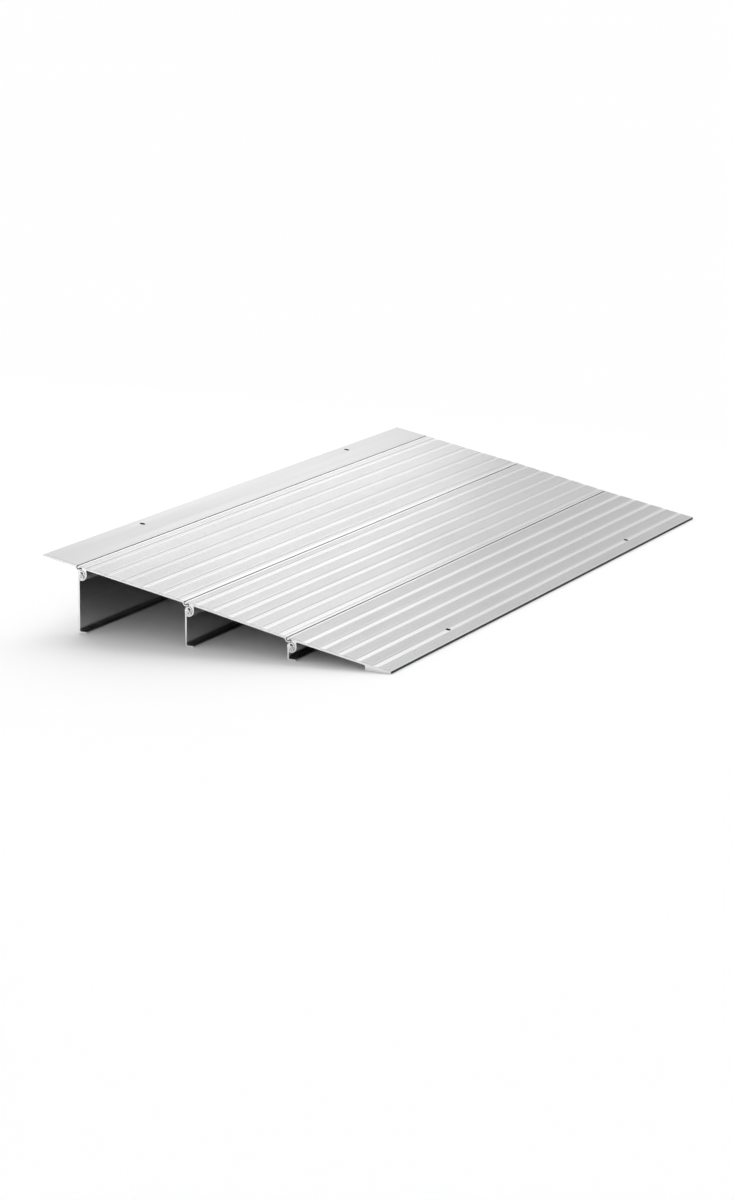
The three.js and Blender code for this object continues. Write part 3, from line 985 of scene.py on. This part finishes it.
def light_world():
    """The studio round the ramp. What lights the floor comes mostly from behind the ramp; what
    the metal mirrors is a plain wall, dim to the right and overhead."""
    world = bpy.data.worlds.new("studio")
    bpy.context.scene.world = world
    world.use_nodes = True
    g = Graph(world)
    towards = g.add("ShaderNodeTexCoord").outputs["Generated"]
    split = g.add("ShaderNodeSeparateXYZ")
    g.feed(split.inputs[0], towards)
    to_right = split.outputs["X"]
    upward = split.outputs["Z"]
    to_key = g.add("ShaderNodeVectorMath", operation="DOT_PRODUCT")
    g.feed(to_key.inputs[0], towards)
    g.feed(to_key.inputs[1], direction(KEY_AZIMUTH, KEY_ELEVATION))

    fill = g.smoothstep(to_right, FILL_FALL, (FILL_LIGHT, FILL_LIGHT_AT_RIGHT))
    key = g.smoothstep(to_key.outputs["Value"], (KEY_EDGE, 1.0), (0.0, KEY_LIGHT))
    lighting = g.math("ADD", fill, key)
    right_fall = g.smoothstep(to_right, RIGHT_WALL_FALL, (1.0, RIGHT_WALL))
    roof_fall = g.smoothstep(upward, CEILING_FALL, (1.0, CEILING))
    mirrored = g.math("MULTIPLY", WALL_IN_METAL, g.math("MULTIPLY", right_fall, roof_fall))
    for_metal = g.add("ShaderNodeLightPath").outputs["Is Glossy Ray"]
    background = g.tree.nodes["Background"]
    g.feed(background.inputs["Color"], grey(1.0))
    g.feed(background.inputs["Strength"], g.remap(for_metal, FULL_RANGE, (lighting, mirrored)))


def direction(azimuth, elevation):
    """The unit vector at an azimuth, from +Y towards +X, and an elevation, in degrees."""
    a = math.radians(azimuth)
    e = math.radians(elevation)
    return Vector((math.sin(a) * math.cos(e), math.cos(a) * math.cos(e), math.sin(e)))


def add_softbox(floor_middle):
    """A softbox behind and to the left, square to the doorway, mirrored by the decks."""
    left, right = SOFTBOX_SPAN
    bottom, top = SOFTBOX_HEIGHTS
    light = bpy.data.lights.new("softbox", "AREA")
    light.shape = "RECTANGLE"
    light.size = right - left
    light.size_y = top - bottom
    light.energy = SOFTBOX_RADIANCE * math.pi * light.size * light.size_y
    lamp = bpy.data.objects.new("softbox", light)
    offset = Vector(((left + right) / 2, SOFTBOX_BEHIND, (bottom + top) / 2))
    lamp.location = floor_middle + offset
    lamp.rotation_euler = (-math.pi / 2, 0, 0)
    lamp.visible_camera = False
    bpy.context.scene.collection.objects.link(lamp)


def add_camera(aim):
    """The camera, looking at a point from beyond the ramp's near end and toe."""
    camera = bpy.data.cameras.new("camera")
    camera.sensor_width = CAMERA_SENSOR
    camera.lens = CAMERA_LENS
    eye = bpy.data.objects.new("camera", camera)
    back = direction(180 - CAMERA_AZIMUTH, CAMERA_ELEVATION)
    eye.location = aim + back * CAMERA_DISTANCE
    roll = Matrix.Rotation(math.radians(CAMERA_ROLL), 4, "Z")
    eye.rotation_euler = (back.to_track_quat("Z", "Y").to_matrix().to_4x4() @ roll).to_euler()
    bpy.context.scene.collection.objects.link(eye)
    bpy.context.scene.camera = eye


def build_stage():
    low, high = cad_box
    floor_middle = Vector(((low.x + high.x) / 2, (low.y + high.y) / 2, low.z))
    add_floor(low.z)
    light_world()
    add_softbox(floor_middle)
    add_camera(floor_middle + Vector((AIM_DOWNHILL, -AIM_NEARER, 0)))
    bpy.context.scene.view_settings.view_transform = "Standard"


build_ramp()
build_stage()
